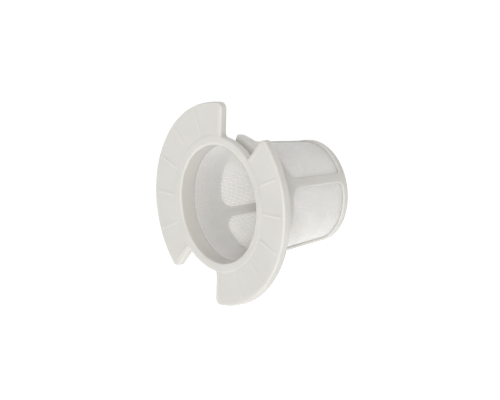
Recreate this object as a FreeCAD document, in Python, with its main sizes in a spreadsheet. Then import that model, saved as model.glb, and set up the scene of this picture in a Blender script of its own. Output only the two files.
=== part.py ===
"""Flanged snap-in strainer insert.

A tapering cup of thin plastic ribs and fine mesh hangs from a wide mouth.  A notched flange stays in
front of the wall, the neck fills the hole, and two barbs catch behind the wall.
The origin is the centre of the flange's back face.  +Y runs into the wall along the cup's axis,
+Z is up, and the two notches and their barbs lie on the Z axis.  Lengths are in millimetres.
"""

import FreeCAD, Part
import os
import Sketcher

SIZES = {
    # flange
    "flange_radius": 20.0,
    "flange_thickness": 1.7,
    "notch_floor_radius": 13.4,
    "notch_half_angle": 19.75,
    "wing_corner_radius": 1.3,
    "face_rib_count": 7,
    "face_rib_pitch": 22.5,
    "face_rib_width": 0.5,
    "face_rib_height": 0.14,
    "face_rib_start_radius": 13.8,
    "face_rib_end_radius": 19.0,
    # neck, mouth and cup wall
    "mouth_ring_height": 0.12,
    "mouth_lip_radius": 0.35,
    "neck_radius": 12.4,
    "neck_length": 0.9,
    "barrel_root_radius": 12.28,
    "barrel_taper": 0.093,
    "wall_thickness": 0.75,
    "mouth_band_length": 1.5,
    "collar_length": 8.1,
    # snap barbs
    "barb_crest_radius": 14.0,
    "barb_crest_start": 1.25,
    "barb_crest_end": 2.7,
    "barb_toe": 6.8,
    "barb_width_angle": 28.0,
    "barb_edge_radius": 0.3,
    # lengthwise ribs
    "rib_first_angle": 45.0,
    "rib_half_width": 1.0,
    "rib_root_flare": 2.4,
    "rib_tip_flare": 0.8,
    "rib_blank_angle": 44.0,
    "rib_cutter_half_width": 6.0,
    # mesh
    "mesh_thickness": 0.25,
    # closed end
    "barrel_end": 23.5,
    "end_frame_thickness": 1.6,
    "end_edge_radius": 0.7,
    "end_opening_radius": 8.2,
    "end_mesh_radius": 8.9,
    "spoke_thickness": 1.0,
    "spoke_width": 1.6,
    "hub_radius": 2.0,
}

document = FreeCAD.newDocument("strainer_insert")
sheet = document.addObject("Spreadsheet::Sheet", "Sizes")
for row, (alias, number) in enumerate(SIZES.items(), start=1):
    sheet.set(f"A{row}", alias)
    sheet.set(f"B{row}", str(number))
    sheet.setAlias(f"B{row}", alias)
document.recompute()

RIB_START = "Sizes.collar_length"
RIB_END = "Sizes.barrel_end - Sizes.end_frame_thickness"
MESH_START = "Sizes.mouth_band_length"
FRONT = "-Sizes.flange_thickness"
MOUTH_FRONT = f"({FRONT} - Sizes.mouth_ring_height)"
TOLERANCE = 1e-3


def outer_radius(place):
    """Radius of the cup's outside at a distance behind the flange's back face."""
    return f"(Sizes.barrel_root_radius - Sizes.barrel_taper * ({place}))"


def inner_radius(place):
    """Radius of the cup's inside, which the mouth band and the side mesh share."""
    return f"({outer_radius(place)} - Sizes.wall_thickness)"


def mesh_outside(place):
    """Radius of the side mesh's outer face."""
    return f"({inner_radius(place)} + Sizes.mesh_thickness)"


def new_body(label):
    """An empty body with a label of its own."""
    body = document.addObject("PartDesign::Body", label)
    body.Label = label
    return body


def origin_feature(body, role):
    """One of a body's own origin planes or axes."""
    return next(f for f in body.Origin.OriginFeatures if f.Role == role)


def new_sketch(body, name, plane):
    """A sketch on one of the body's origin planes."""
    sketch = body.newObject("Sketcher::SketchObject", name)
    sketch.AttachmentSupport = [(origin_feature(body, plane), "")]
    sketch.MapMode = "FlatFace"
    return sketch


def add_outline(sketch, corners):
    """A closed outline of straight edges, with each corner's place bound to the sheet."""
    first = sketch.GeometryCount
    count = len(corners)
    points = [
        FreeCAD.Vector(float(sheet.evalExpression(x)), float(sheet.evalExpression(y)), 0)
        for x, y in corners
    ]
    for i, point in enumerate(points):
        sketch.addGeometry(Part.LineSegment(point, points[(i + 1) % count]))
    for i in range(count):
        after = first + (i + 1) % count
        sketch.addConstraint(Sketcher.Constraint("Coincident", first + i, 2, after, 1))
    for i, (point, (x, y)) in enumerate(zip(points, corners)):
        for kind, place, expression in (("DistanceX", point.x, x), ("DistanceY", point.y, y)):
            constraint = Sketcher.Constraint(kind, -1, 1, first + i, 1, place)
            index = sketch.addConstraint(constraint)
            sketch.setExpression(f"Constraints[{index}]", expression)


def box_outline(sketch, low_x, high_x, low_y, high_y):
    """A rectangle from its four limits."""
    add_outline(sketch, [(low_x, low_y), (high_x, low_y), (high_x, high_y), (low_x, high_y)])


def revolve(body, sketch, axis, angle=None):
    """Turn a sketch about one of its own axes: all the way, or over an angle centred on it."""
    feature = body.newObject("PartDesign::Revolution", sketch.Name + "_turn")
    feature.Profile = sketch
    feature.ReferenceAxis = (sketch, [axis])
    if angle:
        feature.setExpression("Angle", angle)
        feature.Midplane = True
    sketch.Visibility = False
    document.recompute()
    return feature


def fillet(body, feature, chosen, radius):
    """Round the edges of a feature for which chosen(edge) is true."""
    names = [f"Edge{i}" for i, e in enumerate(feature.Shape.Edges, start=1) if chosen(e)]
    if not names:
        raise SystemExit(f"{body.Label}: no edge to round")
    rounded = body.newObject("PartDesign::Fillet", body.Label + "_round")
    rounded.Base = (feature, names)
    rounded.setExpression("Radius", radius)
    document.recompute()
    return rounded


def turned(angle):
    """A placement turned about the cup's axis."""
    return FreeCAD.Placement(
        FreeCAD.Vector(0, 0, 0), FreeCAD.Rotation(FreeCAD.Vector(0, 1, 0), angle)
    )


def mouth_collar():
    """Mouth, the flange's raised inner ring, the neck that fills the hole, and the solid collar."""
    body = new_body("mouth_collar")
    sketch = new_sketch(body, "collar_profile", "XY_Plane")
    neck, collar = "Sizes.neck_length", "Sizes.collar_length"
    add_outline(
        sketch,
        [
            (inner_radius(MOUTH_FRONT), MOUTH_FRONT),
            ("Sizes.notch_floor_radius", MOUTH_FRONT),
            ("Sizes.notch_floor_radius", "0"),
            ("Sizes.neck_radius", "0"),
            ("Sizes.neck_radius", neck),
            (outer_radius(neck), neck),
            (outer_radius(collar), collar),
            (mesh_outside(collar), collar),
            (mesh_outside(MESH_START), MESH_START),
            (inner_radius(MESH_START), MESH_START),
        ],
    )
    ring = revolve(body, sketch, "V_Axis")
    lip_radius = float(sheet.evalExpression(inner_radius(MOUTH_FRONT)))

    def at_lip(edge):
        box = edge.BoundBox
        return abs(box.XMax - lip_radius) < TOLERANCE and box.YLength < TOLERANCE

    fillet(body, ring, at_lip, "Sizes.mouth_lip_radius")
    return body


def flange_wing(label, angle):
    """One half of the flange between the two notches, with its raised radial ribs."""
    body = new_body(label)
    profile = new_sketch(body, label + "_profile", "XY_Plane")
    box_outline(profile, "Sizes.notch_floor_radius", "Sizes.flange_radius", FRONT, "0")
    plate = revolve(body, profile, "V_Axis", "180 - 2 * Sizes.notch_half_angle")
    rim = sheet.flange_radius - TOLERANCE

    def at_rim_corner(edge):
        box = edge.BoundBox
        return box.YLength > sheet.flange_thickness / 2 and box.Center.Length > rim

    plate = fillet(body, plate, at_rim_corner, "Sizes.wing_corner_radius")
    rib = new_sketch(body, label + "_rib", "XY_Plane")
    first = "-Sizes.face_rib_pitch * (Sizes.face_rib_count - 1) / 2"
    rib.AttachmentOffset = turned(1)
    rib.setExpression(".AttachmentOffset.Rotation.Angle", first)
    root = "Sizes.flange_thickness / 2"
    box_outline(
        rib,
        "Sizes.face_rib_start_radius",
        "Sizes.face_rib_end_radius",
        f"{FRONT} - Sizes.face_rib_height",
        f"{FRONT} + {root}",
    )
    bar = body.newObject("PartDesign::Pad", label + "_bar")
    bar.Profile = rib
    bar.Midplane = True
    bar.setExpression("Length", "Sizes.face_rib_width")
    document.recompute()
    ribs = body.newObject("PartDesign::PolarPattern", label + "_ribs")
    ribs.Originals = [bar]
    ribs.Axis = (origin_feature(body, "Y_Axis"), [""])
    ribs.setExpression("Angle", "Sizes.face_rib_pitch * (Sizes.face_rib_count - 1)")
    ribs.setExpression("Occurrences", "Sizes.face_rib_count")
    body.Tip = ribs
    body.Placement = turned(angle)
    return body


def snap_barb(label, angle):
    """A wedge behind a notch: steep towards the flange, with a long ramp on the way in."""
    body = new_body(label)
    sketch = new_sketch(body, label + "_profile", "YZ_Plane")
    foot, toe = "Sizes.neck_length", "Sizes.barb_toe"
    add_outline(
        sketch,
        [
            (foot, outer_radius(foot)),
            ("Sizes.barb_crest_start", "Sizes.barb_crest_radius"),
            ("Sizes.barb_crest_end", "Sizes.barb_crest_radius"),
            (toe, outer_radius(toe)),
        ],
    )
    wedge = revolve(body, sketch, "H_Axis", "Sizes.barb_width_angle")
    crest = sheet.barb_crest_radius

    def round_crest(edge):
        middle = edge.valueAt((edge.FirstParameter + edge.LastParameter) / 2)
        return abs(FreeCAD.Vector(middle.x, 0, middle.z).Length - crest) < TOLERANCE

    fillet(body, wedge, round_crest, "Sizes.barb_edge_radius")
    body.Placement = turned(angle)
    return body


def lengthwise_rib(number):
    """A bar outside the side mesh that widens into the collar and the end ring."""
    label = f"rib_{number}"
    start, end = RIB_START, RIB_END
    body = new_body(label)
    profile = new_sketch(body, label + "_profile", "XY_Plane")
    add_outline(
        profile,
        [
            (mesh_outside(start), start),
            (outer_radius(start), start),
            (outer_radius(end), end),
            (mesh_outside(end), end),
        ],
    )
    revolve(body, profile, "V_Axis", "Sizes.rib_blank_angle")
    sides = new_sketch(body, label + "_sides", "YZ_Plane")
    for side in ("", "-"):
        half = f"{side}Sizes.rib_half_width"
        edge = f"{side}Sizes.rib_cutter_half_width"
        root = f"{side}(Sizes.rib_half_width + Sizes.rib_root_flare)"
        tip = f"{side}(Sizes.rib_half_width + Sizes.rib_tip_flare)"
        corners = [
            (start, edge),
            (start, root),
            (f"{start} + Sizes.rib_root_flare", half),
            (f"{end} - Sizes.rib_tip_flare", half),
            (end, tip),
            (end, edge),
        ]
        add_outline(sides, corners)
    cut = body.newObject("PartDesign::Pocket", label + "_cut")
    cut.Profile = sides
    cut.Type = "ThroughAll"
    cut.Reversed = True
    document.recompute()
    body.Placement = turned(sheet.rib_first_angle + 90 * (number - 1))
    return body


def end_frame():
    """Ring that closes the cup, with a cross and hub behind the end mesh."""
    body = new_body("end_frame")
    start, end = RIB_END, "Sizes.barrel_end"
    seat = f"({RIB_END}) + Sizes.mesh_thickness"
    sketch = new_sketch(body, "end_ring_profile", "XY_Plane")
    add_outline(
        sketch,
        [
            ("Sizes.end_mesh_radius", start),
            (outer_radius(start), start),
            (outer_radius(end), end),
            ("Sizes.end_opening_radius", end),
            ("Sizes.end_opening_radius", seat),
            ("Sizes.end_mesh_radius", seat),
        ],
    )
    ring = revolve(body, sketch, "V_Axis")
    edge_radius = float(sheet.evalExpression(outer_radius(end)))

    def at_end_edge(edge):
        box = edge.BoundBox
        return abs(box.XMax - edge_radius) < TOLERANCE and box.YLength < TOLERANCE

    fillet(body, ring, at_end_edge, "Sizes.end_edge_radius")
    reach = "(Sizes.end_opening_radius + Sizes.end_mesh_radius) / 2"
    in_line = sheet.rib_first_angle
    for name, turn in (("spoke_rising", in_line), ("spoke_falling", -in_line)):
        spoke = new_sketch(body, name, "XY_Plane")
        spoke.AttachmentOffset = turned(turn)
        box_outline(spoke, f"-{reach}", reach, seat, f"{seat} + Sizes.spoke_thickness")
        bar = body.newObject("PartDesign::Pad", name + "_bar")
        bar.Profile = spoke
        bar.Midplane = True
        bar.setExpression("Length", "Sizes.spoke_width")
        document.recompute()
    hub = new_sketch(body, "hub_profile", "XY_Plane")
    box_outline(hub, "0", "Sizes.hub_radius", seat, end)
    revolve(body, hub, "V_Axis")
    return body


def cone_between(label, radius, start, end):
    """A solid cone on the cup's axis."""
    cone = document.addObject("Part::Cone", label)
    cone.setExpression("Radius1", radius(start))
    cone.setExpression("Radius2", radius(end))
    cone.setExpression("Height", f"({end}) - ({start})")
    cone.Placement = FreeCAD.Placement(
        FreeCAD.Vector(0, 0, 0), FreeCAD.Rotation(FreeCAD.Vector(1, 0, 0), -90)
    )
    cone.setExpression(".Placement.Base.y", start)
    return cone


def side_mesh():
    """Woven sleeve, drawn as the closed shell that the weave fills."""
    sleeve = document.addObject("Part::Cut", "side_mesh")
    sleeve.Label = "side_mesh"
    sleeve.Base = cone_between("side_mesh_outside", mesh_outside, MESH_START, RIB_END)
    sleeve.Tool = cone_between("side_mesh_inside", inner_radius, MESH_START, RIB_END)
    return sleeve


def end_mesh():
    """Woven disc that lies in the end frame's rebate."""
    disc = document.addObject("Part::Cylinder", "end_mesh")
    disc.Label = "end_mesh"
    disc.setExpression("Radius", "Sizes.end_mesh_radius")
    disc.setExpression("Height", "Sizes.mesh_thickness")
    disc.Placement = FreeCAD.Placement(
        FreeCAD.Vector(0, 0, 0), FreeCAD.Rotation(FreeCAD.Vector(1, 0, 0), -90)
    )
    disc.setExpression(".Placement.Base.y", RIB_END)
    return disc


pieces = [
    mouth_collar(),
    flange_wing("wing_right", 0),
    flange_wing("wing_left", 180),
    snap_barb("barb_upper", 0),
    snap_barb("barb_lower", 180),
    *(lengthwise_rib(number) for number in (1, 2, 3, 4)),
    end_frame(),
    side_mesh(),
    end_mesh(),
]
document.recompute()

for thing in document.Objects:
    if "Invalid" in thing.State or "Error" in thing.State:
        raise SystemExit(f"{thing.Label} failed: {thing.State}")
for piece in pieces:
    if piece.Shape.isNull() or not piece.Shape.isValid() or not piece.Shape.Solids:
        raise SystemExit(f"{piece.Label} has no valid solid")

os.makedirs("parts", exist_ok=True)
for piece in pieces:
    piece.Shape.exportStep(f"parts/{piece.Label}.step")
    print(f"{piece.Label}: {len(piece.Shape.Solids)} solid(s), {piece.Shape.Volume:.2f} mm3")
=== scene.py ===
"""Looks of the flanged snap-in strainer insert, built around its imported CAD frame.

The moulded frame is one implicit solid with moulded fillets, meshed on a fine grid whose points are
then pulled onto the surface.  The two meshes are plain weaves, with every wire modelled as a four-sided
bar that is shaded smooth.  Shapes are worked out in millimetres in the CAD frame (+Y into the wall,
+Z up), and every finished mesh is in metres.
"""

import math

import bpy
import numpy as np
from mathutils import Matrix, Vector


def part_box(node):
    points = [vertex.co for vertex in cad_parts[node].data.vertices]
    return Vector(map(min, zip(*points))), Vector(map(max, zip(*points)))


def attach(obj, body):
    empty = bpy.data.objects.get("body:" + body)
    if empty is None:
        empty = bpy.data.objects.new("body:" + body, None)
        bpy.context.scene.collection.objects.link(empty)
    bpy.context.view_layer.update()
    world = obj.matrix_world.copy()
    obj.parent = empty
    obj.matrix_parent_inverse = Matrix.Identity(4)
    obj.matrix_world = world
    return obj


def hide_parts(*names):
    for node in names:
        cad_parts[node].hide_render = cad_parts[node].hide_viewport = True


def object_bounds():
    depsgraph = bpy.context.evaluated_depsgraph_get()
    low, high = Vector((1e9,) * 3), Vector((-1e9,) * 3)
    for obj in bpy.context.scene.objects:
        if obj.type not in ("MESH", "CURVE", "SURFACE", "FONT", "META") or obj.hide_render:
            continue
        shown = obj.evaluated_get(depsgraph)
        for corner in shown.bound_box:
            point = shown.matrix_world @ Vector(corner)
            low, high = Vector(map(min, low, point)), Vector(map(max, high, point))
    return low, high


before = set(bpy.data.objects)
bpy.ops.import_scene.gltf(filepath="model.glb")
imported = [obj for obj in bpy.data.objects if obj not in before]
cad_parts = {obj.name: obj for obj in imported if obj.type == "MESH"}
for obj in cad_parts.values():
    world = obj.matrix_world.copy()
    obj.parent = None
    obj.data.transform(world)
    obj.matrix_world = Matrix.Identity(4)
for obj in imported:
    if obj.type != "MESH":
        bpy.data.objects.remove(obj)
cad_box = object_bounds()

MM = 0.001


def corner_mm(node, which):
    """Lowest (0) or highest (1) corner of a CAD node, in millimetres."""
    return Vector(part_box(node)[which]) / MM


# ---- sizes read from the CAD frame ------------------------------------------------------------
FLANGE_RADIUS = corner_mm("wing_right", 1).x
FACE_RIB_FRONT = corner_mm("wing_right", 0).y
MOUTH_FRONT = corner_mm("mouth_collar", 0).y
NOTCH_FLOOR_RADIUS = corner_mm("mouth_collar", 1).x
COLLAR_END = corner_mm("mouth_collar", 1).y
BARB_START = corner_mm("barb_upper", 0).y
BARB_TOE = corner_mm("barb_upper", 1).y
BARB_CREST_RADIUS = corner_mm("barb_upper", 1).z
MESH_START = corner_mm("side_mesh", 0).y
RIB_END = corner_mm("end_frame", 0).y
BARREL_END = corner_mm("end_frame", 1).y
END_MESH_RADIUS = corner_mm("end_mesh", 1).x
MESH_THICKNESS = corner_mm("end_mesh", 1).y - corner_mm("end_mesh", 0).y

# ---- sizes inside those boxes, in millimetres and degrees ---------------------------------------
# The taper is the radius lost, and the closure the radius lost by the opening's cut, per millimetre.
FLANGE_THICKNESS = 1.7
NOTCH_HALF_ANGLE = 19.75
WING_CORNER_RADIUS = 1.3
NOTCH_ROOT_RADIUS = 0.8
FLANGE_EDGE_RADIUS = 0.28
RING_EDGE_RADIUS = 0.1
RING_FILLET = 0.1
FACE_RIB_PITCH = 22.5
FACE_RIB_SIDE_COUNT = 3
FACE_RIB_START, FACE_RIB_END = 13.8, 19.0
FACE_RIB_WIDTH = 0.5
FACE_RIB_CORNER_RADIUS = 0.24
FACE_RIB_EDGE_RADIUS = 0.16
FACE_RIB_FILLET = 0.12
NECK_RADIUS = 12.4
NECK_EDGE_RADIUS = 0.12
NECK_FILLET = 0.1
BARREL_ROOT_RADIUS = 12.28
BARREL_TAPER = 0.093
WALL_THICKNESS = 0.75
LIP_RADIUS = 0.35
CUP_FILLET = 0.25
RIB_HALF_WIDTH = 1.0
WINDOW_ROOT_RADIUS = 2.4
WINDOW_TIP_RADIUS = 0.9
WINDOW_EDGE_RADIUS = 0.2
WINDOW_REACH = 2.0
REBATE_EDGE_RADIUS = 0.04
BARB_CREST = (1.25, 2.7)
BARB_HALF_ANGLE = 14.0
BARB_CREST_EDGE_RADIUS = 0.3
BARB_RAMP_EDGE_RADIUS = 0.6
BARB_SIDE_EDGE_RADIUS = 0.45
END_EDGE_RADIUS = 0.7
END_OPENING_RADIUS = 8.2
END_OPENING_EDGE_RADIUS = 0.3
END_OPENING_CLOSURE = 4.0
SPOKE_HALF_WIDTH = 0.8
SPOKE_THICKNESS = 1.0
SPOKE_EDGE_RADIUS = 0.25
HUB_RADIUS = 2.0
HUB_EDGE_RADIUS = 0.3
CROSS_FILLET = 0.4

# ---- the grid that the moulding is meshed on, in millimetres ---------------------------------------
GRID_STEP = 0.22
GRID_MARGIN = 3
EDGE_SIDES = ((0, 0), (1, 0), (1, 1), (0, 1))
PROBE = 0.01
LEAST_SLOPE_SQUARED = 0.25

ACROSS_TAPER = 1 / math.hypot(1, BARREL_TAPER)


# ---- implicit solid ------------------------------------------------------------------------------
def both(a, b, radius):
    """Where two solids overlap, with the outside edge rounded to a radius."""
    corner = np.hypot(np.maximum(a + radius, 0), np.maximum(b + radius, 0))
    return np.minimum(np.maximum(a, b) + radius, 0) + corner - radius


def either(a, b, radius):
    """Two solids joined, with a fillet of that radius in the inside corner."""
    return -both(-a, -b, radius)


def without(a, b, radius):
    """A solid with another cut out of it, with the cut's edge rounded to a radius."""
    return both(a, -b, radius)


def slab(place, low, high):
    """Distance from the space between two parallel planes."""
    return np.abs(place - (low + high) / 2) - (high - low) / 2


def outer_radius(y):
    """Radius of the cup's outside."""
    return BARREL_ROOT_RADIUS - BARREL_TAPER * y


def line_distance(y, r, start, end):
    """Distance outside a line from start to end, both (y, r), in the half plane of the profile."""
    run, rise = end[0] - start[0], end[1] - start[1]
    return ((r - start[1]) * run - (y - start[0]) * rise) / math.hypot(run, rise)


def flange(x, y, z, r):
    """Thin disc with two opposite notches and rounded wing corners."""
    edge = math.radians(90 - NOTCH_HALF_ANGLE)
    beyond_edge = np.abs(z) * math.cos(edge) - np.abs(x) * math.sin(edge)
    wings = both(r - FLANGE_RADIUS, beyond_edge, WING_CORNER_RADIUS)
    outline = either(wings, r - NOTCH_FLOOR_RADIUS, NOTCH_ROOT_RADIUS)
    return both(outline, slab(y, -FLANGE_THICKNESS, 0), FLANGE_EDGE_RADIUS)


def face_ribs(x, y, z, r):
    """Raised radial ribs on the front of both wings."""
    pitch = math.radians(FACE_RIB_PITCH)
    angle = np.arctan2(z, np.abs(x))
    nearest = np.clip(np.round(angle / pitch), -FACE_RIB_SIDE_COUNT, FACE_RIB_SIDE_COUNT)
    angle = angle - pitch * nearest
    along, across = r * np.cos(angle), r * np.sin(angle)
    length = slab(along, FACE_RIB_START, FACE_RIB_END)
    outline = both(length, np.abs(across) - FACE_RIB_WIDTH / 2, FACE_RIB_CORNER_RADIUS)
    return both(outline, slab(y, FACE_RIB_FRONT, -FLANGE_THICKNESS / 2), FACE_RIB_EDGE_RADIUS)


def mouth_ring(y, r):
    """Ring round the mouth that stands a little proud of the flange."""
    raised = slab(y, MOUTH_FRONT, -FLANGE_THICKNESS / 2)
    return both(r - NOTCH_FLOOR_RADIUS, raised, RING_EDGE_RADIUS)


def cup_and_neck(y, r, outside):
    """The tapering cup, still solid, with the neck that fills the hole."""
    cup = np.maximum(both(outside, y - BARREL_END, END_EDGE_RADIUS), -y - FLANGE_THICKNESS / 2)
    neck = both(r - NECK_RADIUS, slab(y, -FLANGE_THICKNESS / 2, BARB_START), NECK_EDGE_RADIUS)
    return either(cup, neck, NECK_FILLET)


def barbs(x, y, z, r):
    """Two wedges behind the notches, steep towards the flange."""
    side = math.radians(BARB_HALF_ANGLE)
    beyond_side = np.abs(x) * math.cos(side) - np.abs(z) * math.sin(side)
    foot = (BARB_START, outer_radius(BARB_START))
    toe = (BARB_TOE, outer_radius(BARB_TOE))
    crest = BARB_CREST_RADIUS
    steep = line_distance(y, r, foot, (BARB_CREST[0], crest))
    ramp = line_distance(y, r, (BARB_CREST[1], crest), toe)
    profile = both(steep, r - crest, BARB_CREST_EDGE_RADIUS)
    profile = both(profile, ramp, BARB_RAMP_EDGE_RADIUS)
    return both(profile, beyond_side, BARB_SIDE_EDGE_RADIUS)


def cross_and_hub(x, y, z, r):
    """Cross and hub behind the end mesh, in line with the lengthwise ribs."""
    start = RIB_END + MESH_THICKNESS
    across = np.minimum(np.abs(x + z), np.abs(x - z)) / math.sqrt(2)
    thickness = slab(y, start, start + SPOKE_THICKNESS)
    spokes = both(across - SPOKE_HALF_WIDTH, thickness, SPOKE_EDGE_RADIUS)
    hub = both(r - HUB_RADIUS, slab(y, start, BARREL_END), HUB_EDGE_RADIUS)
    reach = (END_OPENING_RADIUS + END_MESH_RADIUS) / 2
    return np.maximum(either(spokes, hub, CROSS_FILLET), r - reach)


def windows(x, y, z, inside):
    """Four openings between the ribs, from the collar to the end ring, with rounded corners."""
    beside_rib = RIB_HALF_WIDTH - np.abs(np.abs(x) - np.abs(z)) / math.sqrt(2)
    outline = np.maximum(
        both(COLLAR_END - y, beside_rib, WINDOW_ROOT_RADIUS),
        both(y - RIB_END, beside_rib, WINDOW_TIP_RADIUS),
    )
    return np.maximum(outline, -inside - WINDOW_REACH)


def end_opening(y, r):
    """Round opening behind the end mesh, whose cut closes quickly in front of the end ring."""
    return r - END_OPENING_RADIUS - np.minimum(y - RIB_END, 0) * END_OPENING_CLOSURE


def moulding(x, y, z):
    """Signed distance, near enough, from the surface of the whole moulding."""
    r = np.hypot(x, z)
    outside = (r - outer_radius(y)) * ACROSS_TAPER
    inside = outside + WALL_THICKNESS
    solid = either(flange(x, y, z, r), face_ribs(x, y, z, r), FACE_RIB_FILLET)
    solid = either(solid, mouth_ring(y, r), RING_FILLET)
    solid = either(solid, cup_and_neck(y, r, outside), CUP_FILLET)
    solid = either(solid, barbs(x, y, z, r), CUP_FILLET)
    solid = without(solid, np.maximum(inside, y - RIB_END), LIP_RADIUS)
    end_seat = np.maximum(r - END_MESH_RADIUS, y - RIB_END - MESH_THICKNESS)
    solid = np.maximum(solid, -end_seat)
    solid = without(solid, end_opening(y, r), END_OPENING_EDGE_RADIUS)
    solid = without(solid, windows(x, y, z, inside), WINDOW_EDGE_RADIUS)
    side_rebate = np.maximum(slab(y, MESH_START, RIB_END), inside - MESH_THICKNESS)
    solid = without(solid, side_rebate, REBATE_EDGE_RADIUS)
    return either(solid, cross_and_hub(x, y, z, r), CROSS_FILLET)


def grid_axis(low, high):
    """Evenly spaced places that reach past both ends."""
    steps = math.ceil((high - low) / GRID_STEP) + 2 * GRID_MARGIN
    middle = (low + high) / 2
    return middle + (np.arange(steps + 1) - steps / 2) * GRID_STEP


def cell_beside(index, others, side):
    """The cell on one of the four sides of each crossed grid edge."""
    cell = index.copy()
    cell[:, others[0]] -= side[0]
    cell[:, others[1]] -= side[1]
    return tuple(cell.T)


def surface_net(distance, axes):
    """Points and quads of the zero surface of a distance sampled on a grid (surface nets)."""
    shape = np.array(distance.shape)
    below = distance < 0
    cells = tuple(shape - 1)
    total = np.zeros(cells + (3,))
    count = np.zeros(cells)
    crossings = []
    for axis in range(3):
        low = [slice(None)] * 3
        high = [slice(None)] * 3
        low[axis], high[axis] = slice(None, -1), slice(1, None)
        crossed = below[tuple(low)] != below[tuple(high)]
        index = np.argwhere(crossed)
        first = distance[tuple(low)][crossed]
        second = distance[tuple(high)][crossed]
        point = index.astype(float)
        point[:, axis] += first / (first - second)
        others = [k for k in range(3) if k != axis]
        for side in EDGE_SIDES:
            cell = cell_beside(index, others, side)
            np.add.at(total, cell, point)
            np.add.at(count, cell, 1)
        crossings.append((index, others, first < 0))
    used = count > 0
    number = np.full(cells, -1)
    number[used] = np.arange(used.sum())
    place = total[used] / count[used][:, None]
    points = np.column_stack([axes[k][0] + place[:, k] * GRID_STEP for k in range(3)])
    quads = []
    for axis, (index, others, leaving) in enumerate(crossings):
        ring = np.column_stack([number[cell_beside(index, others, side)] for side in EDGE_SIDES])
        turned = leaving if axis == 1 else ~leaving
        ring[turned] = ring[turned][:, ::-1]
        quads.append(ring)
    return points, np.vstack(quads)


def pull_onto(distance_at, points, rounds=4):
    """Moves points along the distance's slope, in a few rounds, towards its zero surface."""
    for _ in range(rounds):
        here = distance_at(*points.T)
        slope = np.column_stack(
            [distance_at(*(points + PROBE * axis).T) - here for axis in np.eye(3)]
        ) / PROBE
        steepness = np.maximum((slope**2).sum(1), LEAST_SLOPE_SQUARED)
        move = np.clip(here / steepness, -GRID_STEP / 2, GRID_STEP / 2)
        points = points - slope * move[:, None]
    return points


def new_piece(name, points_mm, faces, slot, *nodes):
    """A smooth mesh piece, in metres, that stands for some CAD nodes."""
    mesh = bpy.data.meshes.new(name)
    mesh.from_pydata((np.asarray(points_mm) * MM).tolist(), [], faces)
    mesh.validate()
    mesh.polygons.foreach_set("use_smooth", [True] * len(mesh.polygons))
    piece = bpy.data.objects.new(name, mesh)
    bpy.context.scene.collection.objects.link(piece)
    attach(piece, "root")
    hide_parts(*nodes)
    return piece


def moulded_frame():
    """The whole injection moulding as one piece."""
    axes = [
        grid_axis(-FLANGE_RADIUS, FLANGE_RADIUS),
        grid_axis(FACE_RIB_FRONT, BARREL_END),
        grid_axis(-FLANGE_RADIUS, FLANGE_RADIUS),
    ]
    grid = np.meshgrid(*axes, indexing="ij")
    points, quads = surface_net(moulding(*grid), axes)
    points = pull_onto(moulding, points)
    nodes = ["mouth_collar", "wing_right", "wing_left", "barb_upper", "barb_lower", "end_frame"]
    nodes += [f"rib_{number}" for number in (1, 2, 3, 4)]
    return new_piece("moulded_frame", points, quads.tolist(), "frame_plastic", *nodes)


# ---- woven mesh ----------------------------------------------------------------------------------
WIRE_RADIUS = 0.095
WIRE_SIDES = 4
CRIMP = 0.045
WEAVE_PITCH = 0.3
WEAVE_JITTER = 0.03
WEAVE_SEED = 7
END_WEAVE_CLEARANCE = 0.1


def wires(paths, outward, closed):
    """Points and faces of wires: paths is (wires, points, 3), outward the same shape."""
    count, length, _ = paths.shape
    if closed:
        ahead = np.roll(paths, -1, axis=1) - np.roll(paths, 1, axis=1)
    else:
        ahead = np.gradient(paths, axis=1)
    ahead /= np.linalg.norm(ahead, axis=2, keepdims=True)
    sideways = np.cross(ahead, outward)
    sideways /= np.linalg.norm(sideways, axis=2, keepdims=True)
    up = np.cross(sideways, ahead)
    turn = 2 * np.pi * np.arange(WIRE_SIDES) / WIRE_SIDES
    rings = paths[:, :, None] + WIRE_RADIUS * (
        np.cos(turn)[:, None] * sideways[:, :, None] + np.sin(turn)[:, None] * up[:, :, None]
    )
    number = np.arange(count * length * WIRE_SIDES).reshape(count, length, WIRE_SIDES)
    start = number if closed else number[:, :-1]
    end = np.roll(number, -1, axis=1) if closed else number[:, 1:]
    quads = np.stack(
        [start, end, np.roll(end, -1, axis=2), np.roll(start, -1, axis=2)], axis=-1
    )
    faces = quads.reshape(-1, 4).tolist()
    if not closed:
        faces += number[:, 0].tolist() + number[:, -1, ::-1].tolist()
    return rings.reshape(-1, 3), faces


def joined(parts):
    """One list of points and faces from several."""
    points, faces, first = [], [], 0
    for some_points, some_faces in parts:
        points.append(some_points)
        faces += [[corner + first for corner in face] for face in some_faces]
        first += len(some_points)
    return np.vstack(points), faces


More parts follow.
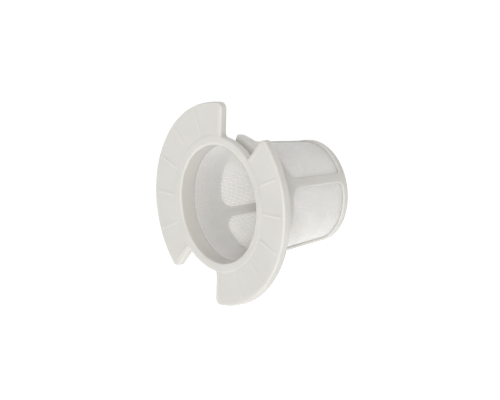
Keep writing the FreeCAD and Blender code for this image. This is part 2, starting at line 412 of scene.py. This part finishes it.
def side_weaves():
    """Sleeve of plain weave that lines the cup from the mouth band to the end ring.

    The number of lengthwise wires is even, so that over and under still alternate where rings close.
    """
    random = np.random.default_rng(WEAVE_SEED)
    middle = MESH_THICKNESS / 2 - WALL_THICKNESS
    around = 2 * round(math.pi * (outer_radius(MESH_START) + middle) / WEAVE_PITCH)
    along = round((RIB_END - MESH_START) / WEAVE_PITCH)
    wander = random.normal(0, WEAVE_JITTER, around), random.normal(0, WEAVE_JITTER, along + 1)
    angle = 2 * np.pi * (np.arange(around) + wander[0]) / around
    place = MESH_START + (RIB_END - MESH_START) * (np.arange(along + 1) + wander[1]) / along
    over = np.where((np.arange(around)[:, None] + np.arange(along + 1)) % 2, 1, -1) * CRIMP
    outward = np.stack([np.cos(angle), np.zeros(around), np.sin(angle)], axis=-1)[:, None]
    outward = np.repeat(outward, along + 1, axis=1)

    def path(lift):
        """Centre lines of the lengthwise wires, lifted over and under the rings."""
        radius = outer_radius(place)[None] + middle + lift
        return outward * radius[:, :, None] + np.array([0, 1, 0]) * place[None, :, None]

    lengthwise = wires(path(over), outward, closed=False)
    rings = wires(path(-over).transpose(1, 0, 2), outward.transpose(1, 0, 2), closed=True)
    return (
        new_piece("side_weave_lengthwise", *lengthwise, "mesh_weave", "side_mesh"),
        new_piece("side_weave_rings", *rings, "mesh_weave", "side_mesh"),
    )


def end_weave():
    """Disc of plain weave in the end frame's rebate."""
    random = np.random.default_rng(WEAVE_SEED + 1)
    middle = RIB_END + MESH_THICKNESS / 2
    radius = END_MESH_RADIUS - END_WEAVE_CLEARANCE
    half = int(radius / WEAVE_PITCH)
    parts = []
    for lengthwise in (True, False):
        for i in range(-half, half + 1):
            offset = (i + random.normal(0, WEAVE_JITTER)) * WEAVE_PITCH
            if abs(offset) >= radius:
                continue
            reach = int(math.sqrt(radius**2 - offset**2) / WEAVE_PITCH)
            if reach < 1:
                continue
            steps = np.arange(-reach, reach + 1)
            sign = 1 if lengthwise else -1
            lift = np.where((steps + i) % 2, 1, -1) * CRIMP * sign
            run = steps * WEAVE_PITCH
            fixed = np.full(len(steps), offset)
            first, second = (run, fixed) if lengthwise else (fixed, run)
            path = np.column_stack([first, middle + lift, second])[None]
            outward = np.broadcast_to(np.array([0.0, 1.0, 0.0]), path.shape)
            parts.append(wires(path, outward, closed=False))
    points, faces = joined(parts)
    return new_piece("end_weave", points, faces, "mesh_weave", "end_mesh")


# ---- materials -----------------------------------------------------------------------------------
SCATTER_TINT = (1.0, 0.97, 0.88)
FLOOR_GLOW = 0.65


def new_material(name):
    """A node material with its Principled shader."""
    material = bpy.data.materials.new(name)
    material.use_nodes = True
    return material, material.node_tree, material.node_tree.nodes["Principled BSDF"]


def noise(tree, scale, detail, roughness=0.5):
    """A noise texture in object space, with its scale per metre."""
    place = tree.nodes.new("ShaderNodeTexCoord")
    texture = tree.nodes.new("ShaderNodeTexNoise")
    texture.inputs["Scale"].default_value = scale
    texture.inputs["Detail"].default_value = detail
    texture.inputs["Roughness"].default_value = roughness
    tree.links.new(place.outputs["Object"], texture.inputs["Vector"])
    return texture


def ramp(tree, texture, *stops):
    """A colour ramp over a texture's value; stops are (place, colour)."""
    node = tree.nodes.new("ShaderNodeValToRGB")
    for element, (place, colour) in zip(node.color_ramp.elements, stops):
        element.position = place
        element.color = (*colour, 1)
    tree.links.new(texture.outputs["Fac"], node.inputs["Fac"])
    return node.outputs["Color"]


def grey(level):
    """A colour without hue."""
    return (level, level, level)


def scatter(shader, depth):
    """Light that goes into the plastic and comes out nearby, within a depth in metres."""
    shader.inputs["Subsurface Weight"].default_value = 1.0
    shader.inputs["Subsurface Radius"].default_value = SCATTER_TINT
    shader.inputs["Subsurface Scale"].default_value = depth


def bump(tree, shader, *reliefs):
    """Surface relief from (texture, height in metres) pairs, coarse first."""
    normal = None
    for texture, height in reliefs:
        node = tree.nodes.new("ShaderNodeBump")
        node.inputs["Strength"].default_value = 1
        node.inputs["Distance"].default_value = height
        tree.links.new(texture.outputs["Fac"], node.inputs["Height"])
        if normal:
            tree.links.new(normal, node.inputs["Normal"])
        normal = node.outputs["Normal"]
    tree.links.new(normal, shader.inputs["Normal"])


def natural_plastic():
    """Milky, slightly warm unpigmented plastic with a satin moulded skin."""
    material, tree, shader = new_material("natural_plastic")
    cloud = noise(tree, 160, 4)
    # The base colour is darker than the plastic's own: painted shade that brings the lamp-lit flange
    # near the shaded inside of the cup.
    colour = ramp(tree, cloud, (0.3, (0.515, 0.500, 0.465)), (0.7, (0.545, 0.530, 0.495)))
    tree.links.new(colour, shader.inputs["Base Color"])
    scuffs = noise(tree, 900, 6, 0.7)
    gloss = ramp(tree, scuffs, (0.35, grey(0.34)), (0.7, grey(0.52)))
    tree.links.new(gloss, shader.inputs["Roughness"])
    scatter(shader, 0.0012)
    shader.inputs["IOR"].default_value = 1.5
    grain = noise(tree, 5000, 3)
    sink = noise(tree, 240, 2)
    bump(tree, shader, (sink, 0.00012), (grain, 0.00001))
    return material


def wire_plastic():
    """Drawn monofilament: the same plastic, glossier, with a paler colour that is painted light to
    lighten the shaded inside of the cup.
    """
    material, tree, shader = new_material("wire_plastic")
    cloud = noise(tree, 400, 3)
    colour = ramp(tree, cloud, (0.3, (0.77, 0.742, 0.685)), (0.7, (0.82, 0.792, 0.735)))
    tree.links.new(colour, shader.inputs["Base Color"])
    skin = noise(tree, 3000, 3)
    gloss = ramp(tree, skin, (0.35, grey(0.3)), (0.7, grey(0.45)))
    tree.links.new(gloss, shader.inputs["Roughness"])
    scatter(shader, 0.0003)
    bump(tree, shader, (skin, 0.00001))
    return material


def floor_paper():
    """Plain pale floor with a faint paper grain and a faint glow that keeps it white."""
    material, tree, shader = new_material("floor_paper")
    cloud = noise(tree, 20, 3)
    colour = ramp(tree, cloud, (0.3, grey(0.96)), (0.7, grey(0.98)))
    tree.links.new(colour, shader.inputs["Base Color"])
    shader.inputs["Roughness"].default_value = 0.9
    shader.inputs["Specular IOR Level"].default_value = 0.1
    shader.inputs["Emission Color"].default_value = (1, 1, 1, 1)
    shader.inputs["Emission Strength"].default_value = FLOOR_GLOW
    return material


# ---- stage ---------------------------------------------------------------------------------------
# Angles are in degrees and lengths in millimetres.  The camera's aim is to the right of the mouth's
# centre and above it, as the camera sees it.
CAMERA_AZIMUTH = 45.4
CAMERA_ELEVATION = 27.2
CAMERA_ROLL = 15.7
CAMERA_DISTANCE = 554.4
AIM_RIGHT, AIM_UP = 6.24, 0.86
CAMERA_LENS = 205.0
FLOOR_DROP = 60.0
FLOOR_SIZE = 4000.0

# Name, azimuth, elevation, width in metres and power in watts of each lamp.
LAMPS = (
    ("front", 44, 23, 0.3, 5.4),
    ("top", 10, 78, 0.5, 2.2),
    ("right", 115, 35, 0.5, 0.5),
    ("back", 220, 30, 0.5, 1.5),
)
LAMP_DISTANCE = 0.9

# The surroundings' strength at the horizon and overhead, and the heights where the one fades into the
# other: the sine of the angle above the horizon.
HORIZON_STRENGTH, SKY_STRENGTH = 1.3, 0.2
FADE_START, FADE_END = 0.12, 0.3
VIEW_GAMMA = 1.35
VIEW_EXPOSURE = -0.3


def floor():
    """A large plain sheet under the object."""
    low = cad_box[0][2] / MM - FLOOR_DROP
    half = FLOOR_SIZE / 2
    corners = [(-half, -half, low), (half, -half, low), (half, half, low), (-half, half, low)]
    mesh = bpy.data.meshes.new("floor")
    mesh.from_pydata([[c * MM for c in corner] for corner in corners], [], [(0, 1, 2, 3)])
    sheet = bpy.data.objects.new("floor", mesh)
    bpy.context.scene.collection.objects.link(sheet)
    mesh.materials.append(floor_paper())


def looking(direction, roll=0.0):
    """Rotation that looks along a direction with +Z up, then turned about that direction."""
    return direction.to_track_quat("-Z", "Y").to_matrix() @ Matrix.Rotation(roll, 3, "Z")


def direction_to(azimuth, elevation):
    """Unit vector from the object towards a viewer; azimuth 0 is in front, at -Y."""
    azimuth, elevation = math.radians(azimuth), math.radians(elevation)
    level = math.cos(elevation)
    return Vector((math.sin(azimuth) * level, -math.cos(azimuth) * level, math.sin(elevation)))


def camera():
    """Long lens from the front right, a little above, aimed past the mouth's centre."""
    data = bpy.data.cameras.new("camera")
    data.lens = CAMERA_LENS
    data.clip_start, data.clip_end = 0.01, 20
    viewer = bpy.data.objects.new("camera", data)
    bpy.context.scene.collection.objects.link(viewer)
    away = direction_to(CAMERA_AZIMUTH, CAMERA_ELEVATION)
    turn = looking(-away, math.radians(CAMERA_ROLL))
    aim = Vector((0, -FLANGE_THICKNESS, 0)) + turn @ Vector((AIM_RIGHT, AIM_UP, 0))
    viewer.matrix_world = Matrix.LocRotScale(
        (aim + away * CAMERA_DISTANCE) * MM, turn.to_quaternion(), None
    )
    bpy.context.scene.camera = viewer


def lamp(name, azimuth, elevation, size, power):
    """A square soft box aimed at the object."""
    data = bpy.data.lights.new(name, "AREA")
    data.size = size
    data.energy = power
    light = bpy.data.objects.new(name, data)
    bpy.context.scene.collection.objects.link(light)
    away = direction_to(azimuth, elevation)
    turn = looking(-away).to_quaternion()
    light.matrix_world = Matrix.LocRotScale(away * LAMP_DISTANCE, turn, None)


def surroundings():
    """Pale surroundings, bright at and below the horizon and weak overhead."""
    world = bpy.data.worlds.new("studio")
    bpy.context.scene.world = world
    world.use_nodes = True
    tree = world.node_tree
    background = tree.nodes["Background"]
    background.inputs["Color"].default_value = (1, 1, 1, 1)
    direction = tree.nodes.new("ShaderNodeTexCoord")
    parts = tree.nodes.new("ShaderNodeSeparateXYZ")
    strength = tree.nodes.new("ShaderNodeMapRange")
    strength.inputs["From Min"].default_value = FADE_START
    strength.inputs["From Max"].default_value = FADE_END
    strength.inputs["To Min"].default_value = HORIZON_STRENGTH
    strength.inputs["To Max"].default_value = SKY_STRENGTH
    tree.links.new(direction.outputs["Generated"], parts.inputs["Vector"])
    tree.links.new(parts.outputs["Z"], strength.inputs["Value"])
    tree.links.new(strength.outputs["Result"], background.inputs["Strength"])


def studio():
    """Surroundings, lamps and a tone curve with little contrast."""
    surroundings()
    for settings in LAMPS:
        lamp(*settings)
    view = bpy.context.scene.view_settings
    view.view_transform = "Standard"
    view.gamma = VIEW_GAMMA
    view.exposure = VIEW_EXPOSURE


moulded = moulded_frame()
moulded.data.materials.append(natural_plastic())
wire = wire_plastic()
for weave in (*side_weaves(), end_weave()):
    weave.data.materials.append(wire)
floor()
camera()
studio()
